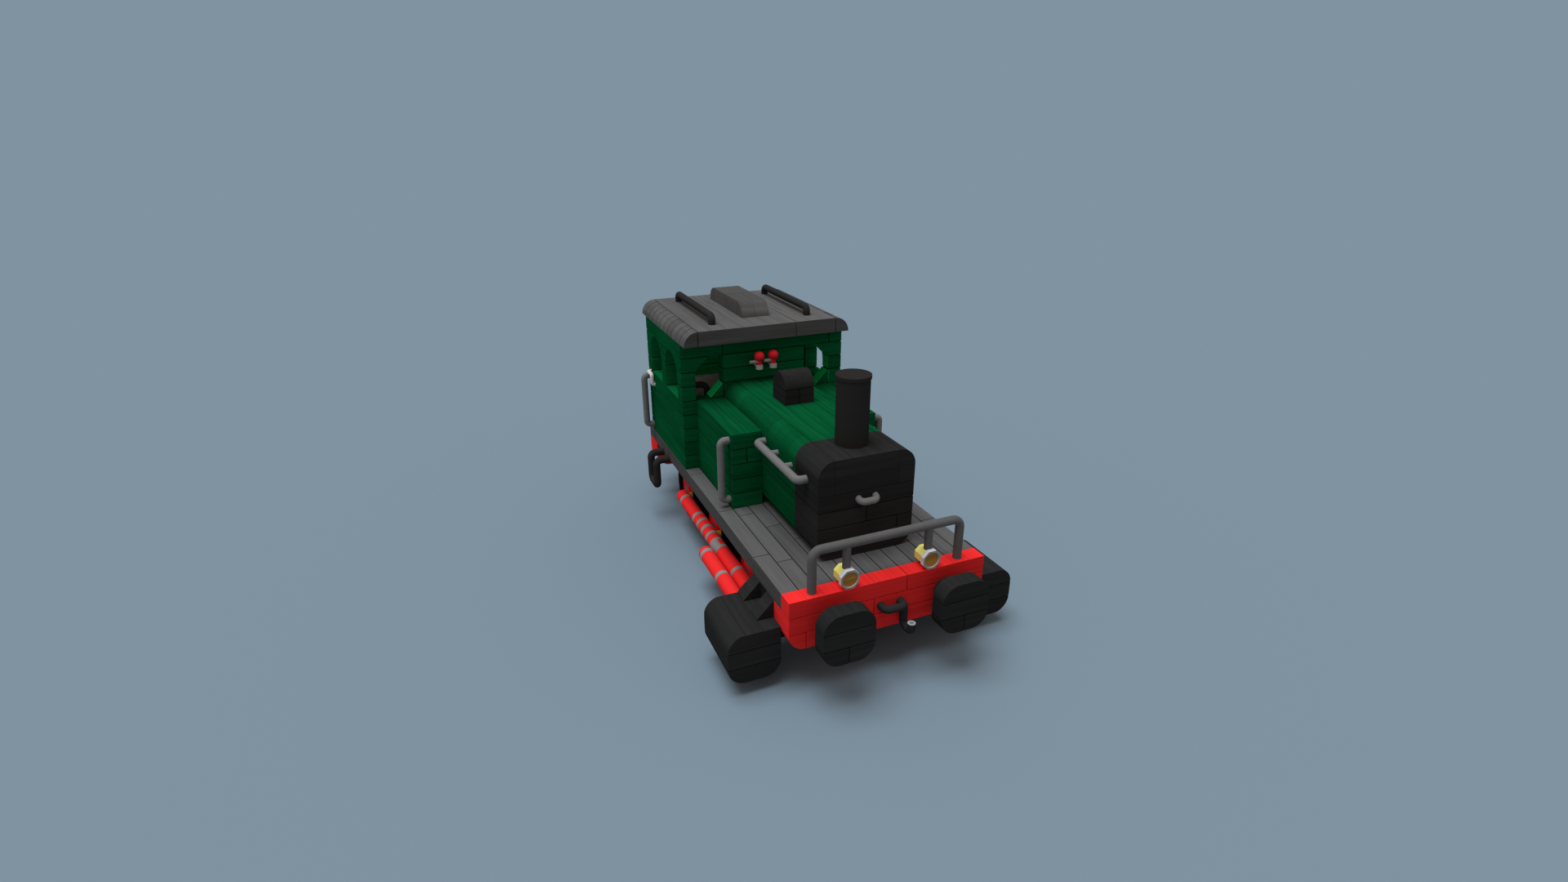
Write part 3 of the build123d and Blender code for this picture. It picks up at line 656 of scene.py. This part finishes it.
def lay_bricks(node, courses, material, seed, scores=()):
    """Replaces a node by its bricks."""
    low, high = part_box(node)
    rows = course_boxes(courses, low, high) + top_scores(scores, low, high)
    points = brick_points(node + "_bricks", rows)
    solid = merged_copy(node)
    inputs = {
        "Solid": solid,
        "Joint": joint_width,
        "Core Depth": core_depth,
        "Seed": seed,
        "Brick": material,
        "Shadow": seam_shadow,
    }
    holder = grown_piece(node + "_bricks", points, brick_laying, inputs)
    bpy.data.objects.remove(solid)
    whole_faces(holder.data)
    rounding = holder.modifiers.new("edges", "BEVEL")
    rounding.width = edge_round
    rounding.segments = 1
    rounding.limit_method = "ANGLE"
    rounding.angle_limit = edge_angle
    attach(holder, "chassis")
    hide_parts(node)
    print(node, len(rows), "boxes", len(holder.data.polygons), "faces")
    return holder


print("core", core_depth * 1000, "mm behind the joints")

# %% [markdown]
# ## Footplate and beams
# The footplate is the deck that carries the whole engine, between two red beams with black
# buffers. It could stay one slab with drawn lines, but its joints also show at the deck's edge.
# So it is laid in planks one brick wide, with end joints that step from plank to plank. The
# front beam has three courses, and its top is scored once per brick.

# %% Footplate
deck_bricks = 28
plank_step = 6
plank_edges = [-END, *range(-5, 6), END]
# bricks from the beam to each plank's first joint, from the engine's right to its left
FIRST_JOINTS = [5, 4, 8, 6, 9, 7, 10, 8, 6, 8, 4, 5]
planks = []
for first, right_edge, left_edge in zip(FIRST_JOINTS, plank_edges, plank_edges[1:]):
    joints = [-j for j in range(first, deck_bricks, plank_step)]
    planks.append(([-END, *sorted(joints), END], [right_edge, left_edge], whole))
lay_bricks("footplate", planks, deck_brick, seed=3)

# %% Beams
front_courses = [
    (whole, [-END, 1, END], [-1, END]),
    (whole, [-END, -1, 5, END], [-2, -1]),
    (whole, [-END, -5, 1, END], [-END, -2]),
]
rear_courses = [
    (whole, [-END, -1, 5, END], [-2, END]),
    (whole, [-END, -5, 1, END], [-END, -2]),
]
beam_scores = [(y, deck_top) for y in range(-5, 6) if y != 1]
lay_bricks("front_buffer_beam", front_courses, red_brick, seed=11, scores=beam_scores)
lay_bricks("rear_buffer_beam", rear_courses, red_brick, seed=12)

# %% Buffers
for end_name, face_x in (("front_buffers", 1), ("rear_buffers", -29)):
    head_courses = [
        ([-END, face_x, END], [-END, 0, END], [-1, END]),
        ([-END, face_x, END], [-END, 0, END], [-2, -1]),
        ([-END, face_x, END], [-END, -3.5, 0, 3.5, END], [-END, -2]),
    ]
    lay_bricks(end_name, head_courses, black_brick, seed=21)

# %% [markdown]
# ## Boiler, smokebox and tanks
# The boiler is a barrel with flat sides and round shoulders, the smokebox is its black front
# end, and a water tank stands on each side. A smooth barrel would lose the toy's character, so
# the sides are courses one brick high, the top is scored along the engine and the rounded
# shoulders are short bricks with tight joints, one brick long.

# %% Boiler
shoulder_joints = [-END, *range(-17, -6), END]
barrel_courses = [
    ([-END, -12, END], whole, [-END, 1]),
    ([-END, -15, -9, END], whole, [1, 2]),
    ([-END, -12, END], whole, [2, 3]),
    ([-END, -15, -9, END], whole, [3, 4]),
    ([-END, -12, END], whole, [4, 5]),
    (whole, [-2, 2], [5, END]),
    (shoulder_joints, [-END, -2], [5, END], tight),
    (shoulder_joints, [2, END], [5, END], tight),
]
barrel_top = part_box("boiler")[1].z
barrel_scores = [(y, barrel_top) for y in (-1, 0, 1)]
lay_bricks("boiler", barrel_courses, green_brick, seed=31, scores=barrel_scores)

# %% Smokebox
smokebox_courses = [
    (whole, whole, [-END, 1]),
    (whole, [-END, 2, END], [1, 2]),
    (whole, [-END, 0, END], [2, 3]),
    (whole, whole, [3, 4]),
    (whole, [-END, -2, 2, END], [4, 5], tight),
    (whole, [-END, -2, 2, END], [5, END], tight),
]
lay_bricks("smokebox", smokebox_courses, black_brick, seed=32, scores=barrel_scores)

# %% Tanks, dome and vent
tank_courses = [
    ([-END, -15, END], [-END, 0, END], [-END, 1]),
    ([-END, -13, END], [-END, 0, END], [1, 2]),
    ([-END, -16, END], [-END, 0, END], [2, 3]),
    ([-END, -14, END], [-END, -4, 0, 4, END], [3, 4]),
    (whole, [-END, 0, END], [4, END]),
]
tank_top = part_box("side_tanks")[1].z
tank_scores = [(-4, tank_top), (4, tank_top)]
lay_bricks("side_tanks", tank_courses, green_brick, seed=41, scores=tank_scores)
dome_courses = [
    (whole, [-END, 0, END], [-END, 7]),
    (whole, whole, [7, END]),
]
lay_bricks("dome", dome_courses, black_brick, seed=42)
vent_courses = [
    ([-END, -25.5], [-END, 0, END], whole, tight),
    ([-25.5, -23, -20.5], whole, whole),
    ([-20.5, END], [-END, 0, END], whole, tight),
]
lay_bricks("roof_vent", vent_courses, vent_brick, seed=43)

# %% [markdown]
# ## Cab and roof
# The cab is four walls of courses round open windows. Two bright wedges stand in the lower
# corners of the front windows, and two more hang in their upper outer corners. Cutting the
# bricks from the wall's solid keeps every window and wedge in its place, which stacking loose
# bricks would not. The roof is planked, with short rounded bricks along both eaves.

# %% Cab walls
below_windows = [
    (whole, [-END, -3, 3, END], [-END, 1]),
    (whole, [-END, 0, END], [1, 2]),
    (whole, [-END, -3, 3, END], [2, 3]),
    (whole, [-END, 0, END], [3, 4]),
    (whole, [-END, -3, 3, END], [4, 5]),
]
front_wall = [
    *below_windows,
    (whole, [-END, -4.5, -3, -1.5, 3.5, 5, END], [5, 6]),
    (whole, [-END, -4, 4, END], [6, 7]),
    (whole, [-END, -4, 4, END], [7, 8]),
    (whole, [-END, -3, 5, END], [8, END]),
]
rear_wall = [
    *below_windows,
    (whole, [-END, -4, 0, 4, END], [5, 6]),
    (whole, [-END, -4, 4, END], [6, 7]),
    (whole, [-END, -4, 0, 4, END], [7, 8]),
    (whole, [-END, -2, 2, END], [8, END]),
]
side_wall = [
    ([-END, -22, END], whole, [-END, 1]),
    ([-END, -24, -21, END], whole, [1, 2]),
    ([-END, -22, END], whole, [2, 3]),
    ([-END, -24, -21, END], whole, [3, 4]),
    ([-END, -22, END], whole, [4, 5]),
    (whole, whole, [5, 6.5]),
    ([-END, -24.5, -22.5, -20.5, END], whole, [6.5, 8]),
    ([-END, -24, -21, END], whole, [8, END]),
]
front_bricks = lay_bricks("cab_front_wall", front_wall, green_brick, seed=51)
rear_bricks = lay_bricks("cab_rear_wall", rear_wall, green_brick, seed=52)
right_bricks = lay_bricks("cab_right_wall", side_wall, green_brick, seed=53)
left_bricks = lay_bricks("cab_left_wall", side_wall, green_brick, seed=54)

# %% [markdown]
# The photograph shows the inside of the cab almost as bright as the outside. A lamp in the cab
# would also light the floor, so the faces that look into the cab take a lighter green instead:
# painted light, where the walls and roof keep the real light out. It is lightest on the front and
# rear walls, apart from the rear wall's end beside the right window, which gets light enough. The
# shaded sides of the left front window and the slopes of the wedges get painted light too.

# %% Inner faces and slopes
# painted light: lighter greens for faces that the cab's walls and roof keep in shade
inner_painted_light_green = moulded_plastic("inner_painted_light_green", screen(9, 104, 57))
back_painted_light_green = moulded_plastic("back_painted_light_green", screen(16, 190, 105))
slope_painted_light_green = moulded_plastic("slope_painted_light_green", screen(14, 190, 102))
face_slack = 0.0005
slope_lean = 0.4
side_lean = 0.5
window_slack = 0.05
inner_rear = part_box("cab_rear_wall")[1].x - face_slack
inner_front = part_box("cab_front_wall")[0].x + face_slack
outer_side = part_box("cab_left_wall")[1].y - face_slack
window_light_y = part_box("cab_right_wall")[0].y + 3 * brick
sill = at(0, 3 - window_slack, 5 - window_slack)
head = at(0, 5 + window_slack, 8 + window_slack)


def is_reveal(face):
    """Whether a face is a side of the left front window, which lies in shade."""
    within = sill.y < face.center.y < head.y and sill.z < face.center.z < head.z
    return within and abs(face.normal.x) < side_lean and face.center.x > inner_front


def slot_of(mesh, material):
    """The index of a material on a mesh, which takes it up if it is new there."""
    if mesh.materials.find(material.name) < 0:
        mesh.materials.append(material)
    return mesh.materials.find(material.name)


INNER_PAINTED_LIGHT = [
    # wall, green with painted light for the faces inside the cab
    (front_bricks, back_painted_light_green),
    (rear_bricks, back_painted_light_green),
    (right_bricks, inner_painted_light_green),
    (left_bricks, inner_painted_light_green),
]
for wall, finish in INNER_PAINTED_LIGHT:
    mesh = wall.data
    outer = mesh.materials.find(green_brick.name)
    for face in [f for f in mesh.polygons if f.material_index == outer]:
        inside = inner_rear < face.center.x < inner_front and abs(face.center.y) < outer_side
        # the rear wall's end beside the right window takes less painted light, as real light reaches
        # it
        beside_window = wall == rear_bricks and face.center.y < window_light_y
        if face.normal.z > slope_lean and abs(face.normal.y) > slope_lean:
            face.material_index = slot_of(mesh, slope_painted_light_green)
        elif inside and beside_window:
            face.material_index = slot_of(mesh, inner_painted_light_green)
        elif inside or is_reveal(face):
            face.material_index = slot_of(mesh, finish)
    print(wall.name, "inner finish", finish.name)

# %% Roof
eave_joints = [-END, *range(-27, -17), END]
roof_courses = [
    (eave_joints, [-END, -5], whole, wide),
    (whole, [-5, 2, 5], whole),
    (eave_joints, [5, END], whole, wide),
]
roof_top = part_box("roof")[1].z
roof_scores = [(y, roof_top) for y in range(-4, 5)]
lay_bricks("roof", roof_courses, roof_brick, seed=61, scores=roof_scores)

# %% [markdown]
# ## Cylinders
# The cylinders are black blocks that the piston rods slide in, hung from the deck by wedge
# struts. They could stay plain, but they are the largest forms near the camera. So they are
# laid three courses high like the rest, and their tops are scored.

# %% Cylinders
cylinder_courses = [
    ([-END, -3, END], [-END, 0, END], [-END, -4]),
    (whole, [-END, 0, END], [-4, -3]),
    (whole, [-END, 0, END], [-3, -2]),
    ([-END, -3.5, END], [-END, 0, END], [-2, END]),
]
cylinder_top = at(0, 0, -2).z
cylinder_scores = [(y, cylinder_top) for y in (-8, -7, 7, 8)]
lay_bricks("cylinders", cylinder_courses, black_brick, seed=71, scores=cylinder_scores)

# %% [markdown]
# ## Finishes for the pieces that keep their solid
# Tubes, rods, wheels and small fittings are already the right shape, so they keep their mesh
# and take a finish. Tubes are grey or black plastic with a little more shine than the bricks.

# %% Fitting finishes
grey_tube = moulded_plastic("grey_tube", screen(122, 121, 121), streak=0.06, gloss=0.45, specular=0.03)
post_grey = moulded_plastic("post_grey", screen(98, 97, 97), streak=0.06, gloss=0.45, specular=0.03)
black_tube = moulded_plastic("black_tube", screen(50, 50, 50), streak=0.06, gloss=0.45)
stack_black = moulded_plastic("stack_black", screen(47, 46, 45), streak=0.03)
rod_red = moulded_plastic("rod_red", screen(255, 52, 52), streak=0.05, gloss=0.45)
wheel_red = moulded_plastic("wheel_red", screen(255, 52, 56), streak=0.05, gloss=0.45)
tyre_black = moulded_plastic("tyre_black", screen(28, 28, 28), streak=0.05, gloss=0.7)
pin_gold = moulded_plastic("pin_gold", screen(225, 176, 66), streak=0.05, gloss=0.35)
axle_steel = moulded_plastic("axle_steel", screen(120, 122, 126), streak=0.05, gloss=0.35)
frame_black = moulded_plastic("frame_black", screen(38, 38, 38), gloss=0.6)
lamp_yellow = moulded_plastic("lamp_yellow", screen(255, 250, 135), streak=0.03)
# front=0.45 paints shade on the rim's forward faces
lamp_rim = moulded_plastic("lamp_rim", screen(228, 228, 236), streak=0.03, front=0.45)
lamp_amber = moulded_plastic("lamp_amber", screen(176, 128, 62), streak=0.2)
knob_red = moulded_plastic("knob_red", screen(235, 40, 52), streak=0.03, gloss=0.35)
cup_pale = moulded_plastic("cup_pale", screen(176, 176, 172), streak=0.04, gloss=0.4)
# the seat is painted lighter than its own grey, in place of light that the cab keeps off it
seat_painted_light_grey = moulded_plastic("seat_painted_light_grey", screen(178, 170, 170), streak=0.1)
FINISHES = [
    # finish, nodes
    (grey_tube, ["boiler_handrails", "cab_handrails", "tank_handrails", "smokebox_handle"]),
    (post_grey, ["guard_rail"]),
    (black_tube, ["roof_rails", "cab_steps", "front_coupling", "rear_coupling", "regulator_pipe"]),
    (stack_black, ["chimney"]),
    (rod_red, ["coupling_rod_left", "coupling_rod_right", "main_rod_left", "main_rod_right"]),
    (wheel_red, ["front_wheel_centres", "middle_wheel_centres", "rear_wheel_centres"]),
    (tyre_black, ["front_tyres", "middle_tyres", "rear_tyres"]),
    (pin_gold, ["front_crank_pins", "middle_crank_pins", "rear_crank_pins"]),
    (axle_steel, ["front_axle", "middle_axle", "rear_axle", "piston_rod_left", "piston_rod_right"]),
    (frame_black, ["frame_plate_left", "frame_plate_right", "frame_stretchers", "cylinder_brackets"]),
    (lamp_yellow, ["lamp_bodies"]),
    (lamp_rim, ["lamp_rims"]),
    (lamp_amber, ["lamp_lenses"]),
    (knob_red, ["whistle_knobs"]),
    (cup_pale, ["whistles"]),
    (seat_painted_light_grey, ["driver_seat"]),
]
for finish, nodes in FINISHES:
    for node in nodes:
        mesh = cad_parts[node].data
        mesh.materials.clear()
        mesh.materials.append(finish)
print("finished nodes", sum(len(nodes) for finish, nodes in FINISHES))

# %% [markdown]
# ## Bands on the rods
# Grey bands show where the round pieces of each rod meet. They are open arcs on the outer side,
# so that they never reach the crank pins behind the rod. One tree sweeps a flat strip round the
# rod's axis at each station, and a wide strip makes the clip on the coupling rod.

# %% The band tree
arc_points = 40
BAND_INPUTS = [
    # name, kind of socket
    ("Stations", "Geometry"),
    ("Radius", "Float"),
    ("Width", "Float"),
    ("Depth", "Float"),
    ("Start", "Float"),
    ("Sweep", "Float"),
    ("Band", "Material"),
]


def band_tree():
    """A flat strip bent round the x axis at each point."""
    tree, given, result = new_tree("rod_bands", BAND_INPUTS)
    link = tree.links.new
    arc = add_node(tree, "GeometryNodeCurveArc")
    arc.inputs["Resolution"].default_value = arc_points
    link(given["Radius"], arc.inputs["Radius"])
    link(given["Start"], arc.inputs["Start Angle"])
    link(given["Sweep"], arc.inputs["Sweep Angle"])
    strip = add_node(tree, "GeometryNodeCurvePrimitiveQuadrilateral")
    link(given["Depth"], strip.inputs["Width"])
    link(given["Width"], strip.inputs["Height"])
    swept = add_node(tree, "GeometryNodeCurveToMesh")
    swept.inputs["Fill Caps"].default_value = True
    link(arc.outputs["Curve"], swept.inputs["Curve"])
    link(strip.outputs["Curve"], swept.inputs["Profile Curve"])
    upright = add_node(tree, "GeometryNodeTransform")
    upright.inputs["Rotation"].default_value = (math.pi / 2, 0, math.pi / 2)
    link(swept.outputs["Mesh"], upright.inputs["Geometry"])
    bands = copies(tree, given["Stations"], upright.outputs["Geometry"])
    link(painted(tree, bands, given["Band"]), result)
    return tree


rod_bands = band_tree()
print(rod_bands.name, "with", len(rod_bands.nodes), "nodes")

# %% Bands and clips
band_width = 0.0027
band_depth = 0.0006
band_proud = 0.00012
band_centre, band_sweep = 10, 230
clip_centre, clip_sweep = 25, 110
tube_sharp = math.radians(40)
band_grey = moulded_plastic("band_grey", screen(150, 148, 146), streak=0.04, gloss=0.45)


def add_bands(name, node, stations, width, centre, sweep):
    """Bands on a rod; centre is the arc's middle, in degrees up from the outer side."""
    low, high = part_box(node)
    axis = ((low.y + high.y) / 2, (low.z + high.z) / 2)
    points = bpy.data.meshes.new(name)
    points.from_pydata([(beam_front + x * brick, *axis) for x in stations], [], [])
    middle = math.radians(centre if low.y > 0 else 180 - centre)
    inputs = {
        "Radius": (high.z - low.z) / 2 + band_proud - band_depth / 2,
        "Width": width,
        "Depth": band_depth,
        "Start": middle - math.radians(sweep) / 2,
        "Sweep": math.radians(sweep),
        "Band": band_grey,
    }
    holder = grown_piece(name, points, rod_bands, inputs)
    shade_round(holder.data, tube_sharp)
    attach(holder, node)
    print(name, len(stations), "bands", len(holder.data.polygons), "faces")


COUPLING_STATIONS = [-20, -17, -16, -15, -14, -13, -12, -9]
CLIP_STATIONS = [-12.5]
MAIN_STATIONS = [-11.85, -8.9]
for side_name in ("left", "right"):
    coupling = "coupling_rod_" + side_name
    coupling_bands = "coupling_bands_" + side_name
    add_bands(coupling_bands, coupling, COUPLING_STATIONS, band_width, band_centre, band_sweep)
    add_bands("coupling_clip_" + side_name, coupling, CLIP_STATIONS, brick, clip_centre, clip_sweep)
    main = "main_rod_" + side_name
    add_bands("main_bands_" + side_name, main, MAIN_STATIONS, band_width, band_centre, band_sweep)

# %% [markdown]
# ## Bent tubes
# The last fittings are thin tubes that follow a path of a few points: the whistle levers, a hook
# on each side of the cab and the hollow tips of the coupling hooks. Each could be a curve of its
# own, but they differ only in path and thickness. So one tree turns the paths into curves,
# rounds their bends and sweeps a circle along them.

# %% The tube tree
bend_points = 8
section_points = 20
TUBE_INPUTS = [
    # name, kind of socket
    ("Routes", "Geometry"),
    ("Radius", "Float"),
    ("Bend", "Float"),
    ("Tube", "Material"),
]


def tube_tree():
    """Round tubes with rounded bends along the edges of a mesh."""
    tree, given, result = new_tree("bent_tubes", TUBE_INPUTS)
    link = tree.links.new
    route = add_node(tree, "GeometryNodeMeshToCurve")
    link(given["Routes"], route.inputs["Mesh"])
    bent = add_node(tree, "GeometryNodeFilletCurve", mode="POLY")
    bent.inputs["Count"].default_value = bend_points
    bent.inputs["Limit Radius"].default_value = True
    link(route.outputs["Curve"], bent.inputs["Curve"])
    link(given["Bend"], bent.inputs["Radius"])
    round_section = add_node(tree, "GeometryNodeCurvePrimitiveCircle")
    round_section.inputs["Resolution"].default_value = section_points
    link(given["Radius"], round_section.inputs["Radius"])
    swept = add_node(tree, "GeometryNodeCurveToMesh")
    swept.inputs["Fill Caps"].default_value = True
    link(bent.outputs["Curve"], swept.inputs["Curve"])
    link(round_section.outputs["Curve"], swept.inputs["Profile Curve"])
    link(painted(tree, realized(tree, swept.outputs["Mesh"]), given["Tube"]), result)
    return tree


bent_tubes = tube_tree()
print(bent_tubes.name, "with", len(bent_tubes.nodes), "nodes")


# %% Whistle levers
def add_tubes(name, routes, radius, bend, material):
    """One piece of tubes along several routes, on the chassis."""
    points = [point for route in routes for point in route]
    edges = []
    start = 0
    for route in routes:
        edges += [(start + i, start + i + 1) for i in range(len(route) - 1)]
        start += len(route)
    mesh = bpy.data.meshes.new(name)
    mesh.from_pydata(points, edges, [])
    inputs = {"Radius": radius, "Bend": bend, "Tube": material}
    holder = grown_piece(name, mesh, bent_tubes, inputs)
    shade_round(holder.data, tube_sharp)
    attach(holder, "chassis")
    print(name, len(routes), "tubes", len(holder.data.polygons), "faces")


lever_length = 0.0055
lever_radius = 0.0009
lever_bend = 0.0002
knob_low, knob_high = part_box("whistle_knobs")
knob_radius = (knob_high.x - knob_low.x) / 2
knob_x = (knob_low.x + knob_high.x) / 2
lever_z = knob_high.z - 2 * knob_radius
lever_routes = []
for knob_y in (knob_low.y + knob_radius, knob_high.y - knob_radius):
    root = Vector((knob_x, knob_y, lever_z))
    lever_routes.append([root, root - Vector((0, lever_length, 0))])
lever_grey = moulded_plastic("lever_grey", screen(150, 150, 148), streak=0.04, gloss=0.4)
add_tubes("whistle_levers", lever_routes, lever_radius, lever_bend, lever_grey)

# %% Cab hooks
hook_radius = 0.00115
hook_bend = 0.0012
hook_rear, hook_front = -26.4, -25.4
hook_top, hook_foot = 4.85, 4.1
wall_face, bar_line = 5.98, 6.2
hook_routes = []
for side in (-1, 1):
    hook_routes.append(
        [
            at(hook_rear, side * wall_face, hook_top),
            at(hook_rear, side * bar_line, hook_top),
            at(hook_front, side * bar_line, hook_top),
            at(hook_front, side * bar_line, hook_foot),
            at(hook_front, side * wall_face, hook_foot),
        ]
    )
hook_pale = moulded_plastic("hook_pale", screen(232, 228, 222), streak=0.04)
add_tubes("cab_hooks", hook_routes, hook_radius, hook_bend, hook_pale)

# %% Hook tips
coupling_radius = 0.0018
tip_rise = 0.0042
tip_radius = 0.00178
hollow_radius = 0.0009
tip_root = 0.0004
tip_proud, hollow_proud = 0.0002, 0.0003
straight = 0.0001
tip_pale = moulded_plastic("tip_pale", screen(165, 166, 166), streak=0.04)
# a grey disc painted on each tip stands for the shade inside its hollow
hollow_painted_shade = moulded_plastic("hollow_painted_shade", screen(112, 124, 124), streak=0.04)
tip_routes = []
hollow_routes = []
for node, end in (("front_coupling", 1), ("rear_coupling", -1)):
    low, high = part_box(node)
    tip_x = (high.x if end > 0 else low.x) - end * coupling_radius
    tip_y = end * (max(high.y, -low.y) - coupling_radius)
    tip_z = low.z + coupling_radius + tip_rise
    tip_foot = (tip_x, tip_y, tip_z - tip_root)
    tip_routes.append([tip_foot, (tip_x, tip_y, tip_z + tip_proud)])
    hollow_routes.append([tip_foot, (tip_x, tip_y, tip_z + hollow_proud)])
add_tubes("hook_tips", tip_routes, tip_radius, straight, tip_pale)
add_tubes("hook_hollows", hollow_routes, hollow_radius, straight, hollow_painted_shade)

# %% [markdown]
# ## Size of the dressed engine
# The box round the dressed engine is printed in millimetres.

# %% Size
low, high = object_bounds()
print("visual box", [round(v * 1000, 1) for v in (*low, *high)])
